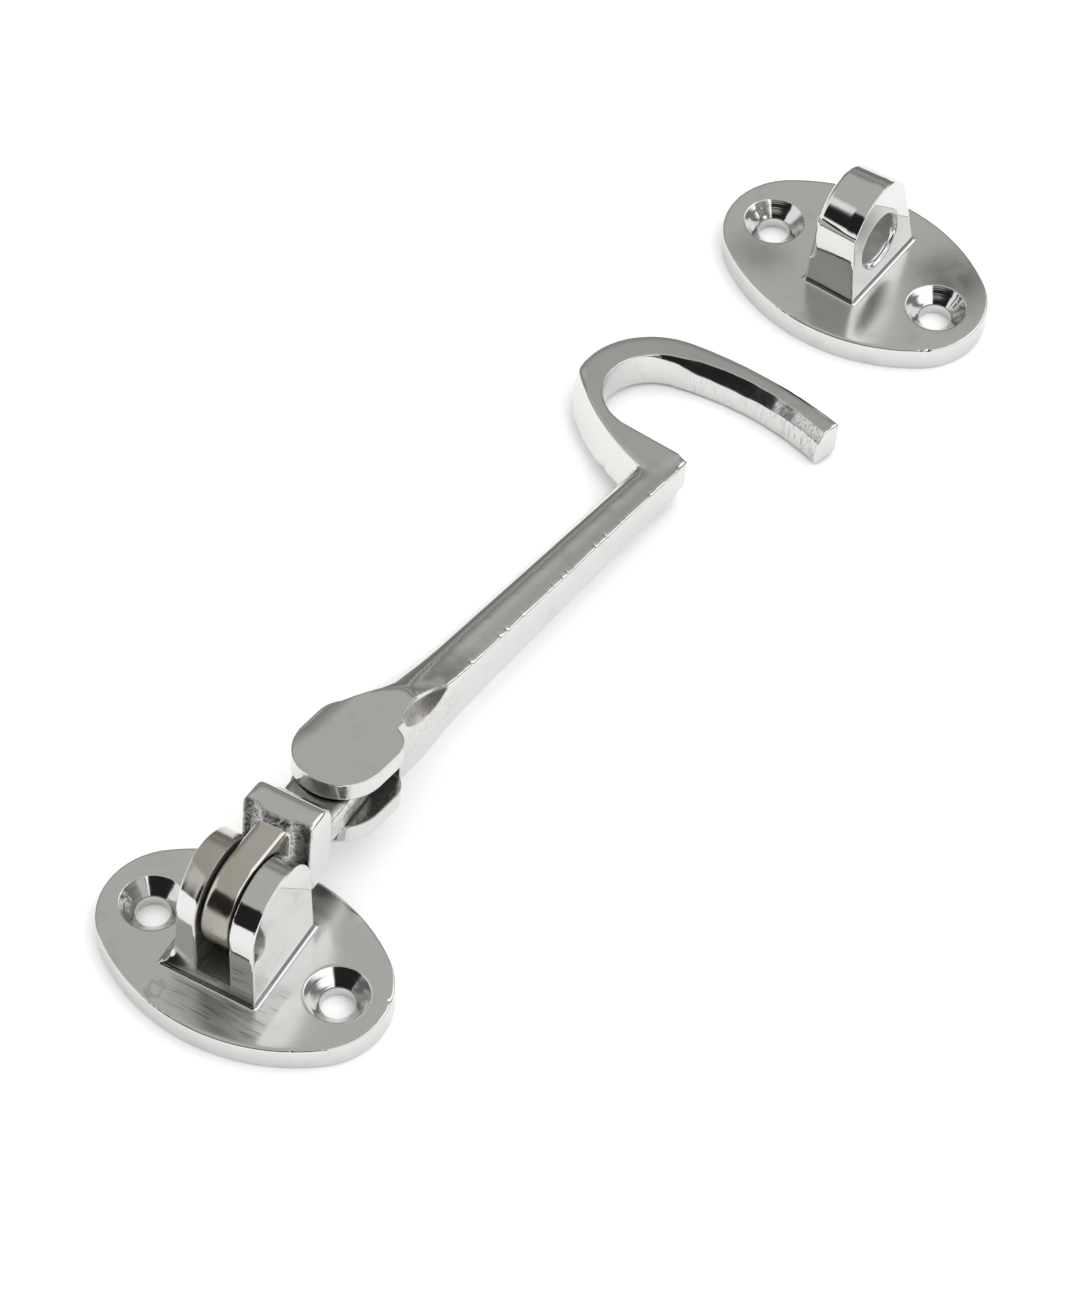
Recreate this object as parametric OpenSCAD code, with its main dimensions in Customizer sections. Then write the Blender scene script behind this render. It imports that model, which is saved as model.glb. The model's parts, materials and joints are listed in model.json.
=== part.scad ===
// Hook and eye latch: a cabin hook on a two-axis knuckle, with its separate eye plate.
// Millimetres. Origin at the middle of the hook plate's underside, X along the plate,
// Y towards the eye plate, Z up from the mounting face.

/* [Plates] */
// Length of each oval plate
plate_l = 38; // [34:0.5:50]
// Width of each oval plate
plate_w = 25.4; // [22:0.5:32]
// Thickness of each plate
plate_t = 3.5; // [2.5:0.1:5]
// Distance from a plate's end to its screw hole
screw_inset = 6.3; // [5:0.1:8]
// Diameter of the screw holes
screw_d = 4.2; // [3:0.1:5]
// Diameter of the countersinks at the top face
sink_d = 8; // [6:0.1:9]

/* [Lugs] */
// Height of the lug pin above the mounting face
lug_pin_h = 14.2; // [12:0.1:18]
// Radius of the lugs' round tops
lug_r = 6.4; // [5.5:0.1:7]
// Length of the lugs' feet across the plate
lug_foot = 13.4; // [13:0.1:17]
// Thickness of each lug
lug_wall = 3.25; // [2:0.05:4.5]
// Width of the slot between the lugs
lug_slot = 4.5; // [3.5:0.1:6]
// Height of the slot's floor above the plate
slot_floor = 2; // [0.5:0.1:3]
// Widening of the left lug towards its foot
lug_draft = 0.9; // [0:0.1:1.2]
// Radius of the hollow at the left lug's foot
lug_hollow_r = 2.5; // [1.5:0.1:3]
// Reach of that hollow past the lug's flank
lug_hollow_reach = 1.1; // [0.5:0.1:1.3]
// Flare where the lugs' other sides and the eye meet their plates
foot_flare = 0.5; // [0.3:0.1:1.5]

/* [Pins] */
// Diameter of both pins
pin_d = 4; // [3:0.1:5]
// Radial running clearance of a pin in its tongue
pin_clear = 0.05; // [0.02:0.01:0.1]

/* [Knuckle] */
// Distance between the two pins
pin_pitch = 21.8; // [19:0.1:28]
// Side clearance of a tongue in its slot
tongue_clear = 0.2; // [0.1:0.05:0.4]
// Gap between the lugs' round tops and the knuckle block
lug_gap = 0.4; // [0.3:0.05:1.5]
// Width of the knuckle block
block_w = 9.6; // [8:0.1:12]
// Depth of the knuckle block along the arm
block_l = 5.9; // [4.5:0.1:7]
// Height of the block above the pin axis
block_top = 7.3; // [6.5:0.1:9]
// Depth of the block below the pin axis
block_drop = 4.8; // [3:0.1:5.5]
// Bevel of the block's upper back edge
block_bevel = 1.9; // [0.5:0.1:2.5]
// Rounding under the back of the block
block_belly_r = 2; // [1:0.1:4]
// Rounding of the block's back corners
block_corner_r = 0.8; // [0.2:0.1:1.5]
// Depth of the two scallops in the block's front
scallop_depth = 0.9; // [0.3:0.1:1.4]
// Width of the flat tongue in the arm's fork
fork_tongue_w = 7.8; // [6.5:0.1:9]

/* [Arm] */
// Radius of the arm's round head
head_r = 5.9; // [5:0.1:7.5]
// Height of the head
head_h = 10.2; // [8:0.1:12]
// Length of the head behind the arm pin
head_back = 6.8; // [6.4:0.1:9]
// Rounding of the head's two back corners
head_corner_r = 3.4; // [1:0.1:4]
// Height of the fork's slot
fork_slot = 4.8; // [4:0.1:6]
// Depth of the slot behind the arm pin
fork_depth = 6; // [5:0.1:7]
// Shaft radius behind the neck
shaft_r = 3.6; // [3:0.05:4.5]
// Distance from the arm pin to where the neck ends
neck_l = 24; // [18:0.5:30]
// Flare radius of the neck
neck_flare_r = 60; // [40:1:100]
// Distance of the shaft's flat right wall from its middle, at the head
wall_w = 3.45; // [2.9:0.05:4.5]

/* [Hook] */
// Distance from the arm pin to the middle of the bend
hook_reach = 75.4; // [60:0.2:110]
// Distance of the bend's middle to the left of the shaft
hook_set = 7; // [4:0.1:10]
// Inner radius of the bend
hook_r = 7.1; // [6:0.1:9]
// Width of the hook's bar
bar_w = 4; // [3:0.1:5]
// Height of the hook's bar
bar_t = 4.9; // [4:0.1:6]
// Length of the hook's free end after the bend
tip_l = 23; // [15:0.2:30]
// Radius of the free end's outer edge
tip_curve_r = 59; // [45:1:120]
// Radius of the free end's inner edge
tip_inner_r = 38; // [30:1:60]
// Width of the free end at its tip
tip_w = 3.75; // [3:0.05:4]
// Turn of the bend past the far side of the hook
tip_lead = 10.5; // [0:0.5:15]
// Thickness left where the bend's outer flank is flattened
flank_w = 1.8; // [1.5:0.1:3]
// Radius of the flattened flank
flank_r = 34.7; // [30:0.1:50]
// Widening of the flank towards its lower edge
flank_draft = 1.3; // [0.2:0.1:1.6]
// Direction of the flattened flank, from the bend's middle
flank_dir = 236.4; // [230:0.2:242]
// Width of the shoulder to the right of the shaft's middle
shoulder_w = 2.78; // [2:0.02:3.4]

/* [Eye] */
// Height of the middle of the eye's round top
eye_h = 13.05; // [11:0.05:17]
// Radius of the eye's round top
eye_r = 6.2; // [5.5:0.1:8]
// Thickness of the eye
eye_t = 6.3; // [4:0.1:8]
// Reach of the eye's foot behind its middle
eye_back = 8.2; // [7:0.1:9.5]
// Widening of the eye's foot on each side
eye_draft = 0.6; // [0.1:0.1:1.2]
// Radius of the eye's hole
eye_hole_r = 3.6; // [3.4:0.1:4.2]
// Height of the middle of the hole
eye_hole_h = 10.2; // [9.6:0.1:11]
// Rounding of the hole's lips
eye_lip_r = 0.45; // [0.2:0.05:0.8]
// Height of the small ledge on the eye's front, above the middle of its round top
ledge_up = 2; // [1:0.1:3]

/* [Pose] */
// Swing of the arm to the right of straight ahead, in degrees
swing = 6.5; // [-60:0.5:60]
// How far the arm can still drop below its resting pose, in degrees
drop = 2; // [0:0.5:3]
// Gap kept between the knuckle and the lugs at the end of the drop
drop_gap = 0.3; // [0.1:0.05:0.6]
// Eye plate's place to the right of the hook plate
eye_x = 11.8; // [-30:0.1:30]
// Eye plate's distance ahead of the hook plate
eye_y = 132; // [126:0.5:180]
// Turn of the eye plate as it lies, in degrees
eye_turn = -6.2; // [-30:0.1:30]

/* [Hidden] */
$fn = 96;
chrome = [0.80, 0.80, 0.79];
pin_chrome = [0.74, 0.74, 0.74];
// Overrun of a cutting tool past the face that it cuts
over = 1;
// Reach of a tool that has to pass the whole part
far = 400;

// Oval plate: two end arcs and two side arcs that meet in tangent points
end_r = 1.1 * pow(plate_w / 2, 2) / (plate_l / 2);
end_x = plate_l / 2 - end_r;
side_step = plate_w / 2 - end_r;
side_y = (end_x * end_x - side_step * side_step) / (2 * side_step);
side_r = plate_w / 2 + side_y;
tangent_x = end_x * side_r / (side_r - end_r);
screw_x = plate_l / 2 - screw_inset;

// Lugs
lug_span = lug_slot + 2 * lug_wall;
lug_lean = flank_angle(lug_r, lug_foot / 2, lug_pin_h - plate_t);

// Knuckle and arm at rest: the hook's bar lies on the mounting face
bend_mid = [-hook_set, hook_reach];
bar_mid_r = hook_r + bar_w / 2;
bar_out_r = hook_r + bar_w;
far_y = pin_pitch - bend_mid.x * sin(swing) + bend_mid.y * cos(swing) + bar_out_r;
tilt = asin(lug_pin_h / norm([far_y, bar_t / 2])) - atan2(bar_t / 2, far_y);
block_y = lug_r + lug_gap;
block_end = block_y + block_l;
lug_tongue_w = lug_slot - 2 * tongue_clear;
lug_tongue_r = lug_r - tongue_clear;
fork_tongue_t = fork_slot - 2 * tongue_clear;
wing_w = (block_w - lug_tongue_w) / 2;
scallop_r = (wing_w * wing_w / 4 + scallop_depth * scallop_depth) / (2 * scallop_depth);

// Shaft: round on its left, flat on top and with a flat wall on its right
shoulder_y = hook_reach - hook_r;
shaft_end = shoulder_y - bar_w / 2;
taper = (shaft_r - bar_t / 2) / (shaft_end - neck_l);
tip_turn = tip_l / tip_curve_r * 180 / PI;
// Depth of the flat top below the round back's crown
flat_step = 0.08;
// Stretch of the lower bar that the flank's curve is cut from
bar_extra = 2.3;
// Overlap of the free end with the bend, in degrees
bar_lap = 0.4;

// Angle above level of a flank's normal, where the flank runs from a round top to its foot
function flank_angle(r, foot, drop_to_foot) =
    acos(r / norm([foot, drop_to_foot])) - atan2(drop_to_foot, foot);

// Outline of an oval plate
module oval_outline() {
    for (side = [-1, 1])
        translate([side * end_x, 0])
            circle(end_r);
    intersection() {
        translate([0, -side_y])
            circle(side_r);
        translate([0, side_y])
            circle(side_r);
        square([2 * tangent_x, 2 * plate_w], center = true);
    }
}

module oval_plate() {
    linear_extrude(plate_t)
        oval_outline();
}

module screw_holes() {
    sink_depth = (sink_d - screw_d) / 2;
    for (side = [-1, 1])
        translate([side * screw_x, 0, 0]) {
            translate([0, 0, -over])
                cylinder(h = plate_t + 2 * over, d = screw_d);
            translate([0, 0, plate_t - sink_depth])
                cylinder(h = sink_depth + over, d1 = screw_d, d2 = sink_d + 2 * over);
        }
}

// Upright outline in Y and Z: a round top on flanks that run straight to the front and the back foot
module tombstone(r, h, foot, base) {
    lean = [for (reach = foot) flank_angle(r, reach, h - base)];
    translate([0, h])
        circle(r);
    polygon([
        [-foot[0], base], [foot[1], base],
        [r * cos(lean[1]), h + r * sin(lean[1])], [-r * cos(lean[0]), h + r * sin(lean[0])]
    ]);
}

// Hollow fillet at the right foot of an upright, whose side leans in by the given angle
module hollow(half, base, r, reach, lean) {
    translate([half, base])
        difference() {
            translate([-r, -over])
                square([r + reach, over + r * (1 - sin(lean))]);
            translate([r * (1 - sin(lean)) / cos(lean), r])
                circle(r);
        }
}

// Stands an outline drawn in Y and Z up across X
module across_x(width) {
    rotate([90, 0, 90])
        translate([0, 0, -width / 2])
            linear_extrude(width)
                children();
}

// Stands an outline drawn in X and Z up along Y
module along_y(length) {
    rotate([90, 0, 0])
        translate([0, 0, -length / 2])
            linear_extrude(length)
                children();
}

// Upright with a round top and a flared foot; foot holds its front and back reach,
// draft, hollow and reach hold its left and right side
module upright(r, h, foot, thickness, draft, hollow_r, reach) {
    half = thickness / 2;
    intersection() {
        across_x(thickness + 2 * max(draft) + 2 * max(reach)) {
            tombstone(r, h, foot, plate_t);
            for (side = [0, 1])
                mirror([1 - side, 0])
                    hollow(
                        foot[side], plate_t, foot_flare, foot_flare,
                        flank_angle(r, foot[side], h - plate_t)
                    );
            children();
        }
        along_y(2 * max(foot) + 2 * foot_flare) {
            polygon([
                [-half - draft[0], plate_t], [half + draft[1], plate_t],
                [half, h], [half, h + r], [-half, h + r], [-half, h]
            ]);
            for (side = [0, 1])
                mirror([1 - side, 0])
                    hollow(
                        half + draft[side], plate_t, hollow_r[side], reach[side],
                        atan2(draft[side], h - plate_t)
                    );
        }
    }
}

module base_plate() {
    color(chrome)
        difference() {
            union() {
                oval_plate();
                upright(
                    lug_r, lug_pin_h, [lug_foot / 2, lug_foot / 2], lug_span,
                    [lug_draft, 0], [lug_hollow_r, foot_flare], [lug_hollow_reach, foot_flare]
                );
            }
            screw_holes();
            translate([-lug_slot / 2, -plate_w, plate_t + slot_floor])
                cube([lug_slot, 2 * plate_w, lug_pin_h + lug_r]);
            translate([0, 0, lug_pin_h])
                rotate([0, 90, 0])
                    cylinder(h = lug_span + 2 * over, d = pin_d, center = true);
        }
}

module plate_pin() {
    color(pin_chrome)
        translate([0, 0, lug_pin_h])
            rotate([0, 90, 0])
                cylinder(h = lug_span, d = pin_d, center = true);
}

// Frame of the knuckle: on the lug pin, tipped down with the arm
module knuckle_frame() {
    translate([0, 0, lug_pin_h])
        rotate([-tilt, 0, 0])
            children();
}

// Frame of the arm: on the arm pin, swung to the right
module arm_frame() {
    knuckle_frame()
        translate([0, pin_pitch, 0])
            rotate([0, 0, -swing])
                children();
}

// Side view of the block, with a bevel at its upper back edge and a round belly
module block_side(front, top) {
    bevel = top > block_bevel ? block_bevel : 0;
    polygon([
        [front, 0], [block_end, 0], [block_end, top - bevel], [block_end - bevel, top], [front, top]
    ]);
    translate([front, -block_drop])
        square([block_end - block_belly_r - front, block_drop + over]);
    translate([front, block_belly_r - block_drop])
        square([block_end - front, block_drop - block_belly_r + over]);
    translate([block_end - block_belly_r, block_belly_r - block_drop])
        circle(block_belly_r);
}

// Room for the lugs' flanks at the end of the drop
module wing_room() {
    rotate(lug_lean + tilt + drop)
        translate([lug_r + drop_gap, -far / 2])
            square([far, far]);
}

// Plan of the block: round back corners and two scallops in its front
module block_plan() {
    corner_x = block_w / 2 - block_corner_r;
    difference() {
        union() {
            translate([-block_w / 2, block_y])
                square([block_w, block_l - block_corner_r]);
            translate([-corner_x, block_y])
                square([2 * corner_x, block_l]);
            for (side = [-1, 1])
                translate([side * corner_x, block_end - block_corner_r])
                    circle(block_corner_r);
        }
        for (side = [-1, 1])
            translate([
                side * (lug_tongue_w + wing_w) / 2,
                block_y + scallop_depth - scallop_r
            ])
                circle(scallop_r);
    }
}

module knuckle() {
    color(chrome)
        knuckle_frame()
            difference() {
                union() {
                    across_x(lug_tongue_w) {
                        circle(lug_tongue_r);
                        block_side(0, lug_tongue_r);
                    }
                    intersection() {
                        across_x(block_w)
                            intersection() {
                                block_side(block_y, block_top);
                                wing_room();
                            }
                        translate([0, 0, -far / 2])
                            linear_extrude(far)
                                block_plan();
                    }
                    translate([0, 0, -fork_tongue_t / 2])
                        linear_extrude(fork_tongue_t) {
                            translate([-fork_tongue_w / 2, block_end - block_l / 2])
                                square([fork_tongue_w, pin_pitch - block_end + block_l / 2]);
                            translate([0, pin_pitch])
                                circle(d = fork_tongue_w);
                        }
                }
                rotate([0, 90, 0])
                    cylinder(h = lug_span, r = pin_d / 2 + pin_clear, center = true);
                translate([0, pin_pitch, 0])
                    cylinder(h = head_h, r = pin_d / 2 + pin_clear, center = true);
            }
}

// Plan of the head: round in front, with two round corners at the back
module head_plan() {
    corner_x = head_r - head_corner_r;
    circle(head_r);
    translate([-head_r, 0])
        square([2 * head_r, head_back - head_corner_r]);
    translate([-corner_x, 0])
        square([2 * corner_x, head_back]);
    for (side = [-1, 1])
        translate([side * corner_x, head_back - head_corner_r])
            circle(head_corner_r);
}

// Half profile of the shaft about its axis: a straight taper with a flared neck
module shaft_profile() {
    lean = atan(taper);
    flare_mid = [shaft_r + neck_flare_r * cos(lean), neck_l + neck_flare_r * sin(lean)];
    polygon([
        [0, 0], [shaft_r + neck_l * taper, 0], [bar_t / 2 - bar_w / 2 * taper, shoulder_y], [0, shoulder_y]
    ]);
    difference() {
        square([head_h, flare_mid.y - neck_flare_r * sin(lean)]);
        translate(flare_mid)
            circle(neck_flare_r);
        translate([flare_mid.x, -over])
            square([head_h, neck_l + 2 * over]);
    }
}

// Side view of the shaft's flat right half
module shaft_side() {
    for (side = [0, 1])
        mirror([0, side])
            translate([0, -flat_step])
                mirror([1, -1])
                    shaft_profile();
}

module shaft() {
    intersection() {
        union() {
            rotate([-90, 0, 0])
                rotate_extrude()
                    shaft_profile();
            translate([head_r, 0, 0])
                across_x(2 * head_r)
                    shaft_side();
        }
        translate([0, 0, -head_h / 2])
            linear_extrude(head_h)
                polygon([
                    [-head_r, 0], [wall_w, 0], [shoulder_w, shoulder_y], [-head_r, shoulder_y]
                ]);
    }
}

// Wedge in plan from the origin, between two angles
module wedge(reach, from, to) {
    between = (from + to) / 2;
    polygon([
        [0, 0],
        reach * [cos(from), sin(from)],
        2 * reach * [cos(between), sin(between)],
        reach * [cos(to), sin(to)]
    ]);
}

// Free end of the hook in plan, between its outer and its inner edge
module hook_tip(lead) {
    outward = [cos(lead), sin(lead)];
    curve_mid = bend_mid + (bar_out_r - tip_curve_r) * outward;
    tip_dir = lead - tip_turn;
    tip_inner = curve_mid + (tip_curve_r - tip_w) * [cos(tip_dir), sin(tip_dir)];
    chord = tip_inner - bend_mid - hook_r * outward;
    half = norm(chord) / 2;
    sag = sqrt(tip_inner_r * tip_inner_r - half * half);
    difference() {
        translate(curve_mid)
            intersection() {
                circle(tip_curve_r);
                wedge(2 * tip_curve_r, tip_dir, lead + bar_lap);
            }
        translate(tip_inner - chord / 2 + sag / norm(chord) * [chord.y, -chord.x])
            circle(tip_inner_r);
    }
}

// Plan of the hook: the bend, the free end and the lower bar
module hook_plan() {
    lead = 90 + tip_lead;
    translate(bend_mid)
        intersection() {
            difference() {
                circle(bar_out_r);
                circle(hook_r);
            }
            wedge(2 * bar_out_r, lead, 270);
        }
    hook_tip(lead);
    translate([bend_mid.x, shoulder_y - bar_w - bar_extra])
        square([hook_set + shoulder_w / 2, bar_w + bar_extra]);
}

// Hook with the outer flank of its bend flattened to a wide, slightly drafted curve
module hook() {
    flank_mid = bend_mid + (hook_r + flank_w - flank_r) * [cos(flank_dir), sin(flank_dir)];
    difference() {
        translate([0, 0, -bar_t / 2])
            linear_extrude(bar_t)
                hook_plan();
        difference() {
            translate([bend_mid.x - 2 * bar_out_r, shoulder_y - 2 * bar_out_r, -bar_t])
                cube([2 * bar_out_r + hook_set, 3 * bar_out_r, 2 * bar_t]);
            translate([flank_mid.x, flank_mid.y, -bar_t - over])
                cylinder(
                    h = 2 * (bar_t + over),
                    r1 = flank_r + flank_draft * (1.5 + over / bar_t),
                    r2 = flank_r - flank_draft * (0.5 + over / bar_t)
                );
        }
    }
}

module hook_arm() {
    color(chrome)
        arm_frame()
            difference() {
                union() {
                    translate([0, 0, -head_h / 2])
                        linear_extrude(head_h)
                            head_plan();
                    shaft();
                    hook();
                }
                translate([-far / 2, fork_depth - far, -fork_slot / 2])
                    cube([far, far, fork_slot]);
                cylinder(h = head_h + 2 * over, d = pin_d, center = true);
            }
}

module arm_pin() {
    color(pin_chrome)
        arm_frame()
            cylinder(h = head_h, d = pin_d, center = true);
}

// Tool for the eye's hole, with both lips rounded
module eye_bore() {
    lip_y = eye_t / 2;
    translate([0, 0, eye_hole_h])
        rotate([0, 90, 0])
            rotate_extrude()
                difference() {
                    translate([0, -eye_t])
                        square([eye_hole_r + eye_lip_r, 2 * eye_t]);
                    translate([eye_hole_r, eye_lip_r - lip_y])
                        square([eye_lip_r + over, 2 * (lip_y - eye_lip_r)]);
                    for (side = [-1, 1])
                        translate([eye_hole_r + eye_lip_r, side * (lip_y - eye_lip_r)])
                            circle(eye_lip_r);
                }
}

// Lower part of the eye's front, which stands straight up to a small ledge
module eye_ledge() {
    translate([-eye_r, plate_t])
        square([eye_r, eye_h + ledge_up - plate_t]);
}

module eye_plate() {
    color(chrome)
        translate([eye_x, eye_y, 0])
            rotate([0, 0, eye_turn])
                difference() {
                    union() {
                        oval_plate();
                        upright(
                            eye_r, eye_h, [eye_r, eye_back], eye_t,
                            [eye_draft, eye_draft], [foot_flare, foot_flare], [foot_flare, foot_flare]
                        )
                            eye_ledge();
                    }
                    screw_holes();
                    eye_bore();
                }
}

base_plate();
plate_pin();
knuckle();
hook_arm();
arm_pin();
eye_plate();
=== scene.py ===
"""Looks of the hook and eye latch: chrome plated castings on a white studio table."""

import json
import math

import bmesh
import bpy
import numpy as np
from mathutils import Matrix, Vector


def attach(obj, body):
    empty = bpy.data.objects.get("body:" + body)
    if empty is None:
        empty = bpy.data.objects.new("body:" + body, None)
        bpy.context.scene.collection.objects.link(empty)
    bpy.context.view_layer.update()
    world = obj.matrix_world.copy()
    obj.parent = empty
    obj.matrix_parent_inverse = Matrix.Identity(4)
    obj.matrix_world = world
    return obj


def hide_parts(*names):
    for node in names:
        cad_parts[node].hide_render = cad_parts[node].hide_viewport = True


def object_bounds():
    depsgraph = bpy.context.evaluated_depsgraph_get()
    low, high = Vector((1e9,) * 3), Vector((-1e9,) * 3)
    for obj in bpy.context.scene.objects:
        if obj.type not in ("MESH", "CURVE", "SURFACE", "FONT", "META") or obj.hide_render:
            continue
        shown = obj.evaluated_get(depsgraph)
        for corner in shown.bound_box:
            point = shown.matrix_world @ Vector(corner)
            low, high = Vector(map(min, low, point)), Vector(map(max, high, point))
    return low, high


# Camera, as it stood for the photograph (degrees, metres, pixels)
IMAGE_H = 1311
FOCAL_PX = 4738.0
SENSOR_H = 36.0
VIEW_AZIMUTH = 28.18
VIEW_ELEVATION = 52.49
VIEW_ROLL = 1.91
VIEW_TARGET = Vector((0.00744, 0.05746, 0.0))
VIEW_DISTANCE = 0.5841
VIEW_CLIP = (0.01, 20)

# Pose of the pieces in the frame (degrees)
ARM_SWING = 6.5
EYE_TURN = -6.2

# Castings: mesh size (millimetres), and smoothing for crisp, curved and soft places
MM = 0.001
MESH_STEP = 0.15
SMOOTH_SHARE = 0.5
CRISP_PASSES = 6
FLAT_PASSES = 60
SHARP_BEND = 0.02
PIN_RINGS = 2
SOFT_PASSES = 140
SOFT_LEVELS = 8

# Plates (millimetres, in each piece's own frame, as are all sizes down to the finish)
PLATE_T = 3.5
PLATE_HALF = (19.0, 12.7)
SINK_R = 4.0
LUG_HALF = 5.5
LUG_FRONT = -6.7
SLOT_HALF = 2.25
EYE_HALF = 3.15
EYE_TOP_Z = 13.05

# Knuckle
BLOCK_FRONT = 6.8
BLOCK_BACK = 12.7
TONGUE_HALF = 2.05

# Arm: fork, shaft with its right wall and upper edge, hook
FORK_HALF = 2.4
FORK_DEPTH = 6.0
HEAD_FLAT_R = 3.1
SHAFT_START = 9.0
SHAFT_END = 62.0
WALL_X = (3.45, 2.78)
CROWN_Z = (4.1, 2.5)
HOOK_START = (77, 79)
BEND_MID = (-7.0, 75.4)
BEND_INNER_R = 7.1
BEND_END_X = -8.3
BAR_MID_R = 9.1
BAR_TOP = 2.45
TIP_MID = (1.73, 28.3)
TIP_MID_R = 57.2
TIP_WALL_MID = (2.38, 45.91)
TIP_WALL_R = 38.0

# Share of the extra rounding that each softened edge takes
RIM_SOFT = 0.16
SHAFT_LEFT_SOFT = 0.5
SHAFT_RIGHT_SOFT = 0.12
SHOULDER_SOFT = 0.8
HOOK_SOFT = 0.45
LUG_SOFT = 0.9

# Wear: hollow at the neck, file's facet along the hook, nicks, chips, leaning and crowned faces
POCKET_Y = 12.5
POCKET_HALF = 4.5
POCKET_SIZE = (1.05, 2.1)
POCKET_DEPTH = 1.25
FACET_X = (-13, -9, -6, 0, 6, 12, 16)
FACET_SIZE = (0.1, 0.6, 1.2, 1.4, 1.2, 1.1, 1.4)
FACET_SLANT = (0.75, 1.4)
NICKS = 22
NICK_SEED = 5
NICK_SPAN = (17, 60)
NICK_PUSH = 0.7
HOOK_PLATE_CHIPS = ((12.4, -9.6, 0.42), (18.6, 2.4, 0.5))
EYE_PLATE_CHIPS = ((16.0, -6.9, 0.45), (15.2, -7.6, 0.3))
CHIP_LEAN = 12.0
HEAD_CROWN = 0.045
LUG_LEAN = 0.24
EYE_SLOPE = 0.07

# Finish: colours, marks kept as mesh attributes, noise scales (per metre) and bump depths (metres)
CHROME = (0.65, 0.65, 0.642)
WARM = (0.52, 0.485, 0.415)
# The dark colour below serves real grime, pits and file scratches, and also painted shade in recesses and
# between parts; its mark carries both real grime and painted shade
GRIME_AND_SHADE = (0.20, 0.187, 0.172)
MARKS = ("dull", "grime", "cast", "filed", "turned", "satin", "dust")
STAIN_AT = (-5.9, -10.1)
HAZE_SCALE = 260
CLOUD_SCALE = 110
GRAIN_SCALE = 2200
STREAK_SCALE = 3800
WAVE_SCALE = 75
LATHE_RINGS = 14
WAVE_DEPTH = 0.00006
MOULD_DEPTH = 0.0002
FILE_DEPTH = 0.000012
LATHE_DEPTH = 0.00003

# Table and lamp (metres, watts)
FLOOR_HALF = 3.0
FLOOR_GAP = 0.00002
FLOOR_WHITE = 0.92
FLOOR_UNEVEN = 0.01
FIBRE_SCALE = 900
LAMP_SIZE = 3.2
LAMP_HEIGHT = 1.3
LAMP_POWER = 35
LAMP_SIDE = -0.12
LAMP_BACK = 0.06

# Room: brightness by share of the way up, then screens by turn and height (degrees, fading in or out)
ROOM_GREY = (1.0, 1.0, 0.955)
ROOM_STOPS = (
    (0.0, 0.3), (0.18, 0.22), (0.21, 0.55), (0.24, 0.24), (0.28, 0.5), (0.32, 0.28), (0.39, 0.4),
    (0.41, 0.45), (0.45, 0.56), (0.5, 0.58), (1.0, 0.57),
)
TURN_START = 135
RIGHT_SCREEN = (1.6, 1.6, 1.6)
RIGHT_TURN = (228, 240)
RIGHT_TOP = (66, 58)
RIGHT_BAND = (0.24, 0.24, 0.235)
RIGHT_BAND_BASE = (1, 4)
RIGHT_BAND_TOP = (28, 20)
LEFT_SCREEN = (1.05, 1.05, 1.05)
LEFT_TURN = (82, 87)
LEFT_TURN_END = (132, 118)
LEFT_TOP = (52, 44)
DARK_SIDE = (0.022, 0.021, 0.021)
DARK_TURN = (0, 6)
DARK_TURN_END = (87, 82)
DARK_BASE = (0, 3)
DARK_TOP = (48, 42)
BELOW_TABLE = (1.0, 1.0, 1.0)
TABLE_EDGE = (1, 0)


def sin_cos(degrees):
    angle = math.radians(degrees)
    return math.sin(angle), math.cos(angle)


def by_name(rows):
    return {row["name"]: row for row in rows}


def piece_frames(record):
    """Origin and axes of each piece, from the record's joints and mounts."""
    joints = by_name(record["behaviour"]["joints"])
    mounts = by_name(record["mounts"])
    lift_axis = np.array(joints["lift"]["axis"], float)
    up = np.array(joints["swing"]["axis"], float)
    ahead = np.cross(up, lift_axis)
    s, c = sin_cos(ARM_SWING)
    arm_axes = np.stack([c * lift_axis - s * ahead, s * lift_axis + c * ahead, up])
    s, c = sin_cos(EYE_TURN)
    eye_axes = np.array([[c, s, 0], [-s, c, 0], [0, 0, 1]])
    return {
        "hook_plate": (np.zeros(3), np.eye(3)),
        "knuckle_casting": (np.array(joints["lift"]["pos_m"], float), np.stack([lift_axis, ahead, up])),
        "arm": (np.array(joints["swing"]["pos_m"], float), arm_axes),
        "eye_casting": (np.array(mounts["eye_plate_screws"]["pos_m"], float), eye_axes),
    }


def screw_distance(record):
    """Distance of each screw hole from the middle of its plate, in millimetres."""
    return by_name(record["mounts"])["hook_plate_screws"]["dims"]["spacing_x_mm"] / 2


def eye_hole_height(record):
    """Height of the middle of the eye's hole, in millimetres."""
    low, high = by_name(record["physics"]["openings"])["eye_hole"]["box_m"]
    return (low[2] + high[2]) / 2 / MM


def points_of(mesh):
    co = np.zeros(len(mesh.vertices) * 3)
    mesh.vertices.foreach_get("co", co)
    return co.reshape(-1, 3)


def normals_of(mesh):
    n = np.zeros(len(mesh.vertices) * 3)
    mesh.vertices.foreach_get("normal", n)
    return n.reshape(-1, 3)


def step(value, low, high):
    """Smooth step from 0 to 1 between two limits, which may run downwards."""
    t = np.clip((value - low) / (high - low), 0, 1)
    return t * t * (3 - 2 * t)


def between(value, low, high, soft):
    """1 between two limits, falling smoothly to 0 outside them."""
    return step(value, low - soft, low) * step(value, high + soft, high)


def most(*masks):
    """The strongest of several masks at each point."""
    return np.maximum.reduce(masks)


def placed(name, data):
    """New object in the scene for a mesh, a lamp or a camera."""
    thing = bpy.data.objects.new(name, data)
    bpy.context.scene.collection.objects.link(thing)
    return thing


def bake(thing):
    """Mesh of an object with its modifiers applied; the object goes."""
    shown = bpy.data.meshes.new_from_object(thing.evaluated_get(bpy.context.evaluated_depsgraph_get()))
    spent = thing.data
    bpy.data.objects.remove(thing)
    bpy.data.meshes.remove(spent)
    return shown


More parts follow.
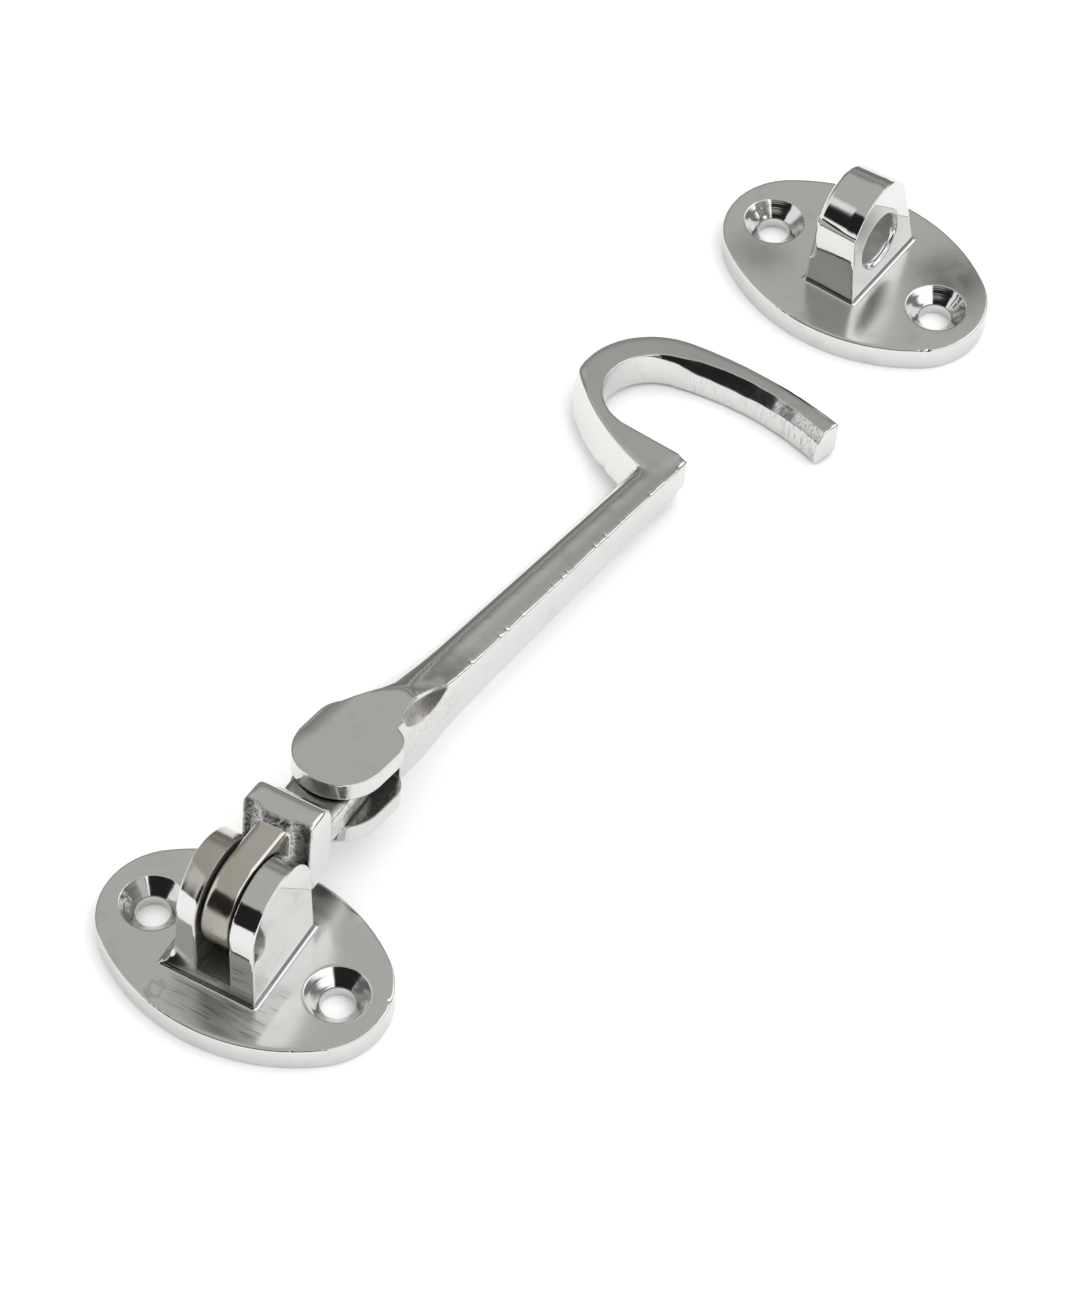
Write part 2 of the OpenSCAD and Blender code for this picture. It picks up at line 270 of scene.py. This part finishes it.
def merged_solid(name, nodes):
    """CAD solids as one even mesh in the piece's own frame, in millimetres."""
    origin, axes = frames[name]
    bm = bmesh.new()
    for node in nodes:
        bm.from_mesh(frame["nodes"][node].data)
    bmesh.ops.remove_doubles(bm, verts=bm.verts, dist=1e-7)
    mesh = bpy.data.meshes.new(name + "_cad")
    bm.to_mesh(mesh)
    bm.free()
    mesh.vertices.foreach_set("co", ((points_of(mesh) - origin) @ axes.T / MM).ravel())
    cad = placed(name + "_cad", mesh)
    solid = placed(name + "_solid", mesh.copy())
    remesh = solid.modifiers.new("even", "REMESH")
    remesh.mode = "VOXEL"
    remesh.voxel_size = MESH_STEP
    snap = solid.modifiers.new("snap", "SHRINKWRAP")
    snap.target = cad
    crisp = solid.modifiers.new("crisp", "SMOOTH")
    crisp.factor = SMOOTH_SHARE
    crisp.iterations = CRISP_PASSES
    shown = bake(solid)
    bpy.data.objects.remove(cad)
    bpy.data.meshes.remove(mesh)
    even_out(shown)
    return shown


def even_out(mesh):
    """Takes the facets out of curved faces and leaves sharp edges where they are."""
    ends = np.zeros(len(mesh.edges) * 2, int)
    mesh.edges.foreach_get("vertices", ends)
    a, b = ends.reshape(-1, 2).T
    p = points_of(mesh)
    n = normals_of(mesh)
    count = len(p)
    bend = 1 - (n[a] * n[b]).sum(1) > SHARP_BEND
    sharp = np.bincount(a, bend, count) + np.bincount(b, bend, count) > 0
    for _ in range(PIN_RINGS):
        sharp = sharp | (np.bincount(a, sharp[b], count) + np.bincount(b, sharp[a], count) > 0)
    neighbours = np.bincount(a, minlength=count) + np.bincount(b, minlength=count)
    share = SMOOTH_SHARE * ~sharp[:, None] / neighbours[:, None].clip(1)

    def smoothed(values):
        for _ in range(FLAT_PASSES):
            around = [np.bincount(a, v[b], count) + np.bincount(b, v[a], count) for v in values.T]
            values = values + share * (np.stack(around, 1) - neighbours[:, None] * values)
        return values

    even = smoothed(p)
    mesh.vertices.foreach_set("co", (even + smoothed(p - even)).ravel())
    mesh.update()


def soften(mesh, amount):
    """Rounds the edges further where the amount, per vertex, is above 0."""
    thing = placed("soften", mesh)
    group = thing.vertex_groups.new(name="soft")
    levels = np.round(amount * SOFT_LEVELS).astype(int)
    for level in range(1, SOFT_LEVELS + 1):
        group.add(np.flatnonzero(levels == level).tolist(), level / SOFT_LEVELS, "REPLACE")
    smooth = thing.modifiers.new("soft", "SMOOTH")
    smooth.factor = SMOOTH_SHARE
    smooth.iterations = SOFT_PASSES
    smooth.vertex_group = group.name
    return bake(thing)


def plate_ring(p):
    """How far out a point of an oval plate lies: 0 in the middle, 1 at its rim."""
    return np.hypot(p[:, 0] / PLATE_HALF[0], p[:, 1] / PLATE_HALF[1])


def screw_ring(p):
    """Distance from the axis of the nearer screw hole."""
    return np.hypot(np.abs(p[:, 0]) - screw_x, p[:, 1])


def wall_depth(p):
    """Depth of points behind the hook's inner wall, and the direction away from it."""
    bend = (p[:, 0] < BEND_END_X)[:, None]
    away = p[:, :2] - np.where(bend, BEND_MID, TIP_WALL_MID)
    reach = np.linalg.norm(away, axis=1)
    return reach - np.where(bend[:, 0], BEND_INNER_R, TIP_WALL_R), away / reach[:, None]


def soft_edges(name, p):
    """Share of extra rounding, from 0 to 1, by place in the piece's own frame."""
    x, y, z = p.T
    rim = RIM_SOFT * between(z, PLATE_T - 0.8, PLATE_T + 0.2, 0.2) * step(plate_ring(p), 0.9, 0.95)
    if name == "arm":
        left = SHAFT_LEFT_SOFT * step(x, 0.6, -0.6) * step(y, 66, 60) * step(y, 8, 14)
        right = SHAFT_RIGHT_SOFT * step(x, 1.2, 1.8) * between(y, 17, 62, 2)
        shoulder = SHOULDER_SOFT * step(x, 1.0, 2.2) * between(y, 66.6, 69, 0.8)
        bend = np.hypot(x - BEND_MID[0], y - BEND_MID[1])
        tip = np.hypot(x - TIP_MID[0], y - TIP_MID[1])
        outer = np.where(x < BEND_MID[0], bend - BAR_MID_R, tip - TIP_MID_R)
        hook = HOOK_SOFT * step(outer, 0, 0.7) * step(y, 66, 70)
        return most(left, right, shoulder, hook)
    if name == "hook_plate":
        lug = step(x, 0.4 - LUG_HALF, -0.2 - LUG_HALF) * step(z, PLATE_T + 2, PLATE_T + 4)
        return most(LUG_SOFT * lug, rim)
    if name == "eye_casting":
        eye = step(x, 0.8 - EYE_HALF, 0.2 - EYE_HALF) * step(z, PLATE_T + 4, PLATE_T + 6)
        return most(eye, rim)
    return np.zeros(len(p))


def nick_edge(p, edge_x, edge_z):
    """Small nicks along the shaft's sharp edge: how far each point moves inwards."""
    random = np.random.default_rng(NICK_SEED)
    moved = np.zeros(len(p))
    near = np.exp(-((p[:, 0] - edge_x) ** 2 + (p[:, 2] - edge_z) ** 2) / 0.2)
    for _ in range(NICKS):
        place = NICK_SPAN[0] + (NICK_SPAN[1] - NICK_SPAN[0]) * random.uniform(0, 1) ** 1.5
        length = random.uniform(0.1, 0.3)
        depth = random.uniform(0.05, 0.3)
        moved = np.maximum(moved, depth * np.exp(-((p[:, 1] - place) / length) ** 2) * near)
    return moved


def file_hook(p):
    """Slanted facet that a file has left along the upper inner edge of the hook."""
    x, y, z = p.T
    size = np.interp(x, FACET_X, FACET_SIZE) + 0.03 * np.sin(1.7 * x)
    depth, away = wall_depth(p)
    across = 1 / (FACET_SLANT[0] * size)
    down = 1 / (FACET_SLANT[1] * size)
    cut = np.clip(1 - np.abs(depth) * across - (BAR_TOP - z) * down, 0, None) / (across ** 2 + down ** 2)
    cut = np.where((y > BEND_MID[1] + 1) & (depth > -0.5), cut, 0)
    p[:, :2] += (cut * across)[:, None] * away
    p[:, 2] -= cut * down


def chip_rim(p, chips):
    """Small chips out of the upper edge of a plate's rim."""
    for x, y, size in chips:
        reach = np.linalg.norm(p - (x, y, PLATE_T), axis=1)
        inward = -np.array([x, y, CHIP_LEAN]) / math.hypot(x, y, CHIP_LEAN)
        p += 0.5 * np.clip(size - reach, 0, None)[:, None] * inward


def wear(name, p):
    """Shapes that the polishing wheel and the file have left, moved into the points."""
    x, y, z = p.T
    if name == "arm":
        along = (y - SHAFT_START) / (SHAFT_END - SHAFT_START)
        edge_x = WALL_X[0] + (WALL_X[1] - WALL_X[0]) * along
        edge_z = CROWN_Z[0] + (CROWN_Z[1] - CROWN_Z[0]) * along
        inward = nick_edge(p, edge_x, edge_z)
        lens = np.clip(1 - ((y - POCKET_Y) / POCKET_HALF) ** 2, 0, None)
        slant = np.array([1 / POCKET_SIZE[0], 0, 1 / POCKET_SIZE[1]])
        pocket = lens - (edge_x - x).clip(0) * slant[0] - (edge_z - z) * slant[2]
        pocket = np.where(lens > 0, pocket.clip(0), 0)
        rim = np.hypot(x, np.minimum(y, 0)) - HEAD_FLAT_R
        crown = HEAD_CROWN * np.clip(rim, 0, None) ** 2 * step(x, 0, -3) * step(z, 1, 3) * step(y, 9, 6)
        p -= POCKET_DEPTH * pocket[:, None] * slant / (slant ** 2).sum()
        p -= NICK_PUSH * inward[:, None] * np.array([1.0, 0, 1.0])
        p[:, 2] -= crown
        file_hook(p)
    elif name == "hook_plate":
        chip_rim(p, HOOK_PLATE_CHIPS)
        lean = LUG_LEAN * np.clip(-SLOT_HALF - 0.3 - x, 0, LUG_HALF) * step(z, PLATE_T + 0.6, PLATE_T + 4)
        p[:, 1] += lean * step(y, -1, -4) * step(x, -8.5, -7.5)
    elif name == "eye_casting":
        chip_rim(p, EYE_PLATE_CHIPS)
        round_r = np.hypot(y, z - EYE_TOP_Z)
        slope = EYE_SLOPE * np.clip(1.5 - x, 0, None) * step(z, EYE_TOP_Z + 1.8, EYE_TOP_Z + 2.4)
        slope = slope * step(round_r, 4.4, 5.2)
        p[:, 1] -= slope * y / round_r.clip(1)
        p[:, 2] -= slope * (z - EYE_TOP_Z) / round_r.clip(1)


def plate_top(p, n):
    """Flat upper side of a plate."""
    return step(np.abs(p[:, 2] - PLATE_T), 0.3, 0.1) * step(n[:, 2], 0.9, 0.98)


def plate_marks(p, n):
    """Both plates: satin upper side, and countersinks turned with a tool."""
    sink = step(screw_ring(p), SINK_R + 0.1, SINK_R - 0.1)
    sink = sink * step(n[:, 2], 0.97, 0.9) * step(p[:, 2], 0.5, 1.0)
    return {"turned": sink, "satin": plate_top(p, n)}


def hook_plate_marks(p, n):
    """Painted shade in the slot and at the lugs' front foot, tarnish on the left lug, a stain, file strokes
    before and beside the lugs.
    """
    x, y, z = p.T
    top = plate_top(p, n)
    inside = step(np.abs(x), SLOT_HALF + 0.25, SLOT_HALF) * step(z, PLATE_T + 1.6, PLATE_T + 2.0)
    left_top = step(x, -SLOT_HALF, -SLOT_HALF - 0.3) * step(z, 17.5, 19)
    before = between(x, 2 - LUG_HALF, LUG_HALF, 3) * between(y, LUG_FRONT - 3.5, LUG_FRONT - 0.6, 1.5)
    beside = between(x, LUG_HALF + 0.6, LUG_HALF + 2.2, 0.6) * between(y, -10, -3, 1)
    # Painted shade: darkens the front of the lugs' foot just above the plate
    foot = between(z, PLATE_T + 0.2, PLATE_T + 1, 2) * step(z, PLATE_T - 0.1, PLATE_T + 0.2)
    foot = foot * step(n[:, 1], -0.5, -0.8) * step(x, 0, 2)
    spot = np.hypot(x - STAIN_AT[0], 0.8 * (y - STAIN_AT[1])) + 0.18 * np.sin(3 * x + 4 * y)
    stain = top * between(spot, 0.75, 0.95, 0.25)
    return {
        **plate_marks(p, n),
        "dull": 0.8 * left_top,
        # Painted shade in the slot and at the lugs' foot; the tarnish on the left lug and the stain are real
        "grime": most(0.95 * inside, 0.25 * left_top, 0.75 * foot, 0.3 * stain),
        "cast": 0.5 * inside * step(n[:, 2], 0.4, 0.8),
        "filed": top * most(before, beside),
        "dust": 0.45 * inside,
    }


def knuckle_marks(p, n):
    """Warm thin plating on the first tongue, painted shade on the second tongue and on the first one's sides
    and lower part, darker on the upper block front, mould pits on the block's front.
    """
    x, y, z = p.T
    side = np.abs(n[:, 0])
    tongue_1 = step(y, BLOCK_FRONT - 0.3, BLOCK_FRONT - 0.9)
    tongue_1 = tongue_1 * step(np.abs(x), TONGUE_HALF + 0.3, TONGUE_HALF)
    tongue_2 = step(y, BLOCK_BACK - 0.4, BLOCK_BACK + 0.1)
    # Painted shade on the second tongue inside the fork, less on its side facing +x
    tongue_2_shade = tongue_2 * (1 - 0.85 * step(n[:, 0], 0.4, 0.8))
    front = between(y, BLOCK_FRONT - 0.8, BLOCK_FRONT + 1.0, 0.3) * step(n[:, 1], -0.2, -0.6)
    # Painted shade on the first tongue's lower part, towards the slot floor; the upper part of the block's
    # front is made darker
    low = tongue_1 * step(z, 3.6, 1.8)
    high = front * step(z, 4.6, 6.2)
    return {
        "dull": 0.8 * tongue_1,
        # Painted shade on both tongues, and darker on the upper block front
        "grime": most(0.75 * tongue_2_shade, tongue_1 * step(side, 0.5, 0.8), 0.8 * low, 0.6 * high),
        "cast": most(front * step(np.abs(x), 4.7, 4.4), 0.5 * tongue_2 * step(side, 0.4, 0.8)),
    }


def arm_marks(p, n):
    """Painted shade in the fork and in the hollow, pits on the neck's wall, file strokes in the hook."""
    x, y, z = p.T
    nx, ny, nz = n.T
    inside = step(np.abs(z), FORK_HALF + 0.2, FORK_HALF) * step(y, FORK_DEPTH + 0.3, FORK_DEPTH - 0.1)
    inside = inside * step(np.hypot(x, y), 2.0, 2.3)
    neck_wall = step(nx, 0.5, 0.8) * between(y, 9.5, 19, 2) * between(z, -1.5, 2.2, 1)
    # Painted shade in the hollow at the neck, stronger higher up
    pocket = step(np.abs(y - POCKET_Y), POCKET_HALF, POCKET_HALF - 0.6) * between(nx, 0.3, 0.93, 0.04)
    pocket = pocket * step(z, 0.8, 1.4) * (0.35 + 0.65 * step(z, 1.8, 3.6))
    hook = step(y, *HOOK_START)
    wall = hook * step(wall_depth(p)[0], 2.4, 1.8) * step(ny, -0.3, -0.6)
    wall = wall * (0.35 * step(x, -9, -6) + 0.65 * step(x, 3, 10))
    facet = hook * step(ny, -0.15, -0.4) * between(nz, 0.3, 0.9, 0.1) * step(x, -9, -6)
    return {
        # Painted shade inside the fork and in the hollow
        "grime": most(0.85 * inside, pocket),
        "cast": most(0.25 * inside, 0.3 * neck_wall),
        "filed": most(wall, 0.5 * facet),
        "dust": 0.15 * inside,
    }


def eye_marks(p, n):
    """Painted shade in the hole, and two smudges on the plate."""
    x, y, z = p.T
    inside = step(np.hypot(y, z - eye_hole_z), 4.0, 3.7) * step(np.abs(x), EYE_HALF, EYE_HALF - 0.4)
    smudge = np.exp(-((x - 12) / 5) ** 2 - ((y - 5) / 5) ** 2)
    smudge += 0.5 * np.exp(-((x + 11) / 4) ** 2 - ((y + 6) / 3) ** 2)
    return {
        **plate_marks(p, n),
        # Painted shade inside the hole; the smudges on the plate are real
        "grime": most(0.5 * inside, 0.95 * plate_top(p, n) * smudge),
        "dust": 0.9 * inside,
    }


def mask(mesh, name, values):
    layer = mesh.attributes.new(name, "FLOAT", "POINT")
    layer.data.foreach_set("value", np.clip(values, 0, 1).astype(np.float32))


def casting(name, nodes, body, marks_of, material):
    """A CAD solid as it leaves the polishing wheel, with its rounded edges, nicks and finish."""
    origin, axes = frames[name]
    shown = merged_solid(name, nodes)
    shown = soften(shown, soft_edges(name, points_of(shown)))
    local = points_of(shown)
    wear(name, local)
    shown.vertices.foreach_set("co", ((local @ axes) * MM + origin).ravel())
    shown.update()
    marks = marks_of(local, normals_of(shown) @ axes.T)
    for mark in MARKS:
        mask(shown, mark, marks.get(mark, np.zeros(len(local))))
    mask(shown, "ring", screw_ring(local) / SINK_R / 2)
    shown.name = name
    shown.polygons.foreach_set("use_smooth", [True] * len(shown.polygons))
    shown.materials.clear()
    shown.materials.append(material)
    piece = placed(name, shown)
    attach(piece, body)
    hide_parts(*nodes)


class Nodes:
    """Short way to place and link shader nodes."""

    def __init__(self, tree):
        self.tree = tree
        tree.nodes.clear()

    def add(self, kind, inputs=None, **settings):
        node = self.tree.nodes.new(kind)
        for key, value in settings.items():
            setattr(node, key, value)
        for key, value in (inputs or {}).items():
            self.feed(node.inputs[key], value)
        return node

    def feed(self, socket, value):
        """Sets a constant on the socket itself, or links another node's output to it."""
        if isinstance(value, (int, float)):
            socket.default_value = value
        elif isinstance(value, tuple):
            short = len(value) < len(socket.default_value)
            socket.default_value = (*value, 1) if short else value
        else:
            self.tree.links.new(value, socket)

    def math(self, operation, *values):
        node = self.add("ShaderNodeMath", operation=operation)
        for socket, value in zip(node.inputs, values):
            self.feed(socket, value)
        return node.outputs[0]

    def product(self, first, *others):
        for other in others:
            first = self.math("MULTIPLY", first, other)
        return first

    def remap(self, value, low, high, to_low=0.0, to_high=1.0):
        ends = {"Value": value, "From Min": low, "From Max": high, "To Min": to_low, "To Max": to_high}
        return self.add("ShaderNodeMapRange", ends, interpolation_type="SMOOTHSTEP").outputs["Result"]

    def ramp(self, value, stops):
        node = self.add("ShaderNodeValToRGB", {"Fac": value})
        elements = node.color_ramp.elements
        while len(elements) < len(stops):
            elements.new(0.5)
        for element, (place, shade) in zip(elements, stops):
            element.position = place
            element.color = (shade, shade, shade, 1)
        return node.outputs["Color"]

    def mix(self, factor, a, b, kind="MIX"):
        node = self.add("ShaderNodeMix", data_type="RGBA", blend_type=kind)
        self.feed(node.inputs[0], factor)
        self.feed(node.inputs[6], a)
        self.feed(node.inputs[7], b)
        return node.outputs[2]

    def noise(self, place, scale, detail=2.0, stretch=None, seed=0.0):
        if stretch:
            place = self.add("ShaderNodeMapping", {"Vector": place, "Scale": stretch}).outputs[0]
        settings = {"Vector": place, "W": seed, "Scale": scale, "Detail": detail}
        return self.add("ShaderNodeTexNoise", settings, noise_dimensions="4D").outputs["Fac"]

    def bump(self, height, distance, normal=None):
        node = self.add("ShaderNodeBump", {"Height": height, "Distance": distance, "Strength": 1.0})
        if normal:
            self.feed(node.inputs["Normal"], normal)
        return node.outputs["Normal"]

    def attribute(self, name):
        return self.add("ShaderNodeAttribute", attribute_name=name).outputs["Fac"]


def new_material(name):
    """Empty material with a shader linked to its output: the material, its nodes, the shader."""
    material = bpy.data.materials.new(name)
    material.use_nodes = True
    n = Nodes(material.node_tree)
    out = n.add("ShaderNodeOutputMaterial")
    shader = n.add("ShaderNodeBsdfPrincipled")
    n.feed(out.inputs[0], shader.outputs[0])
    return material, n, shader


def chrome_material(name, seed, streak):
    """Polished chrome with haze, faint waves, dull warm recesses, grime and painted shade, mould pits and
    file marks.
    """
    material, n, shader = new_material(name)
    place = n.add("ShaderNodeTexCoord").outputs["Object"]
    dull, grime, cast, filed, turned, satin, dust = [n.attribute(mark) for mark in MARKS]
    haze = n.noise(place, HAZE_SCALE, 6, seed=seed)
    cloud = n.noise(place, CLOUD_SCALE, 3, seed=seed + 2)
    grain = n.noise(place, GRAIN_SCALE, 4, seed=seed + 4)
    streaks = n.noise(place, STREAK_SCALE, 3, stretch=streak, seed=seed + 6)
    wave = n.noise(place, WAVE_SCALE, 1, seed=seed + 8)
    reach = n.product(n.attribute("ring"), LATHE_RINGS)
    rings = n.add("ShaderNodeTexNoise", {"W": reach, "Scale": 1.0}, noise_dimensions="1D").outputs["Fac"]
    # Colour
    tarnish = n.product(dull, n.remap(cloud, 0.3, 0.62, 0.55, 1.0))
    # Real grime and smudges, and painted shade in recesses, mixed towards the dark colour
    dirt_and_shade = n.product(grime, n.remap(haze, 0.32, 0.62, 0.6, 1.0))
    blotch = n.product(n.remap(haze, 0.54, 0.72), 0.13)
    pits = n.product(cast, n.remap(grain, 0.5, 0.6), 0.7)
    scratches = n.product(filed, n.remap(streaks, 0.5, 0.64), 0.55)
    colour = n.mix(tarnish, CHROME, WARM)
    colour = n.mix(n.math("MAXIMUM", dirt_and_shade, blotch), colour, GRIME_AND_SHADE)
    colour = n.mix(n.math("MAXIMUM", pits, scratches), colour, GRIME_AND_SHADE)
    n.feed(shader.inputs["Base Color"], colour)
    # Roughness, with the share that each mark adds, and dust over the metal
    rough = n.remap(haze, 0.35, 0.7, 0.03, 0.1)
    worn = n.product(satin, n.remap(cloud, 0.3, 0.65, 0.6, 1.0))
    shares = ((tarnish, 0.1), (dirt_and_shade, 0.22), (cast, 0.12), (filed, 0.14), (turned, 0.04), (worn, 0.17))
    for part, share in shares:
        rough = n.math("ADD", rough, n.product(part, share))
    n.feed(shader.inputs["Roughness"], rough)
    n.feed(shader.inputs["Metallic"], n.math("SUBTRACT", 1.0, n.product(dust, 0.5)))
    # Relief too fine for the mesh
    relief = n.bump(wave, WAVE_DEPTH)
    relief = n.bump(n.product(grain, cast), MOULD_DEPTH, relief)
    relief = n.bump(n.product(streaks, filed), FILE_DEPTH, relief)
    relief = n.bump(n.product(rings, turned), LATHE_DEPTH, relief)
    n.feed(shader.inputs["Normal"], relief)
    return material


def build_world():
    """Room around the table: grey overhead, white screens, dark behind the camera."""
    world = bpy.data.worlds.new("studio")
    bpy.context.scene.world = world
    world.use_nodes = True
    n = Nodes(world.node_tree)
    out = n.add("ShaderNodeOutputWorld")
    light = n.add("ShaderNodeBackground")
    n.feed(out.inputs[0], light.outputs[0])
    split = n.add("ShaderNodeSeparateXYZ", {0: n.add("ShaderNodeTexCoord").outputs["Generated"]})
    x, y, z = split.outputs
    height = n.product(n.math("ARCSINE", z), 180 / math.pi)
    azimuth = n.product(n.math("ARCTAN2", x, y), 180 / math.pi)
    # Turn from the dark side's right edge, clockwise from above, in degrees
    turn = n.math("FLOORED_MODULO", n.math("SUBTRACT", azimuth, TURN_START), 360)
    dome = n.ramp(n.math("DIVIDE", height, 90), ROOM_STOPS)
    colour = n.mix(1.0, dome, ROOM_GREY, "MULTIPLY")
    right = n.remap(turn, *RIGHT_TURN)
    colour = n.mix(n.product(right, n.remap(height, *RIGHT_TOP)), colour, RIGHT_SCREEN)
    band = n.product(right, n.remap(height, *RIGHT_BAND_BASE), n.remap(height, *RIGHT_BAND_TOP))
    colour = n.mix(band, colour, RIGHT_BAND)
    left = n.product(n.remap(turn, *LEFT_TURN), n.remap(turn, *LEFT_TURN_END), n.remap(height, *LEFT_TOP))
    colour = n.mix(left, colour, LEFT_SCREEN)
    dark = n.product(n.remap(turn, *DARK_TURN), n.remap(turn, *DARK_TURN_END))
    dark = n.product(dark, n.remap(height, *DARK_BASE), n.remap(height, *DARK_TOP))
    colour = n.mix(dark, colour, DARK_SIDE)
    colour = n.mix(n.remap(height, *TABLE_EDGE), colour, BELOW_TABLE)
    n.feed(light.inputs["Color"], colour)


def build_floor():
    """Plain white table, with the faintest unevenness of its paper."""
    mesh = bpy.data.meshes.new("table")
    h = FLOOR_HALF
    mesh.from_pydata([(-h, -h, 0), (h, -h, 0), (h, h, 0), (-h, h, 0)], [], [(0, 1, 2, 3)])
    table = placed("table", mesh)
    table.location.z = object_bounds()[0].z - FLOOR_GAP
    material, n, shader = new_material("table")
    n.feed(shader.inputs["Roughness"], 0.9)
    n.feed(shader.inputs["Specular IOR Level"], 0.1)
    fibre = n.noise(n.add("ShaderNodeTexCoord").outputs["Object"], FIBRE_SCALE, 3)
    shade = n.ramp(fibre, ((0.0, FLOOR_WHITE - FLOOR_UNEVEN), (1.0, FLOOR_WHITE + FLOOR_UNEVEN)))
    n.feed(shader.inputs["Base Color"], shade)
    mesh.materials.append(material)


def build_lamp():
    """One wide soft lamp above the table; the chrome sees the room instead of it."""
    data = bpy.data.lights.new("softbox", "AREA")
    data.size = LAMP_SIZE
    data.energy = LAMP_POWER
    lamp = placed("softbox", data)
    lamp.location = (VIEW_TARGET.x + LAMP_SIDE, VIEW_TARGET.y + LAMP_BACK, LAMP_HEIGHT)
    lamp.visible_glossy = False


def build_camera():
    """Camera at the photograph's angle, looking at a point on the table."""
    sin_a, cos_a = sin_cos(VIEW_AZIMUTH)
    sin_e, cos_e = sin_cos(VIEW_ELEVATION)
    sin_r, cos_r = sin_cos(VIEW_ROLL)
    back = Vector((sin_a * cos_e, -cos_a * cos_e, sin_e))
    level = Vector((cos_a, sin_a, 0))
    right = cos_r * level + sin_r * back.cross(level)
    up = back.cross(right)
    data = bpy.data.cameras.new("camera")
    data.sensor_fit = "VERTICAL"
    data.sensor_height = SENSOR_H
    data.lens = FOCAL_PX / IMAGE_H * SENSOR_H
    data.clip_start, data.clip_end = VIEW_CLIP
    camera = placed("camera", data)
    place = VIEW_TARGET + back * VIEW_DISTANCE
    camera.matrix_world = Matrix((
        (right.x, up.x, back.x, place.x),
        (right.y, up.y, back.y, place.y),
        (right.z, up.z, back.z, place.z),
        (0, 0, 0, 1),
    ))
    bpy.context.scene.camera = camera


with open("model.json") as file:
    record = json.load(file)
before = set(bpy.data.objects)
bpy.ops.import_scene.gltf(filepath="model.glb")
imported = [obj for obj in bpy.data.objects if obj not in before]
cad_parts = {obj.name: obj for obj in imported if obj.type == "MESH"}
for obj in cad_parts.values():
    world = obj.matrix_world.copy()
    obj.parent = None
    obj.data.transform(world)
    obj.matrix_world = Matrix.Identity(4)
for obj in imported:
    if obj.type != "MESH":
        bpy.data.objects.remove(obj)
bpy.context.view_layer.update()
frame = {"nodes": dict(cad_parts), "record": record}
frames = piece_frames(frame["record"])
screw_x = screw_distance(frame["record"])
eye_hole_z = eye_hole_height(frame["record"])
build_camera()
build_world()
build_floor()
build_lamp()
for name, nodes, body, slot, marks_of, seed, streak in (
    ("hook_plate", ("base_plate", "plate_pin"), "plates", "chrome", hook_plate_marks, 1.0, (0.06, 1.0, 1.0)),
    ("knuckle_casting", ("knuckle",), "knuckle", "chrome_thin", knuckle_marks, 21.0, (1.0, 1.0, 1.0)),
    ("arm", ("hook_arm", "arm_pin"), "arm", "chrome", arm_marks, 41.0, (1.0, 1.0, 0.06)),
    ("eye_casting", ("eye_plate",), "plates", "chrome", eye_marks, 61.0, (1.0, 1.0, 1.0)),
):
    casting(name, nodes, body, marks_of, chrome_material(name, seed, streak))

bpy.context.scene.view_settings.view_transform = "Standard"
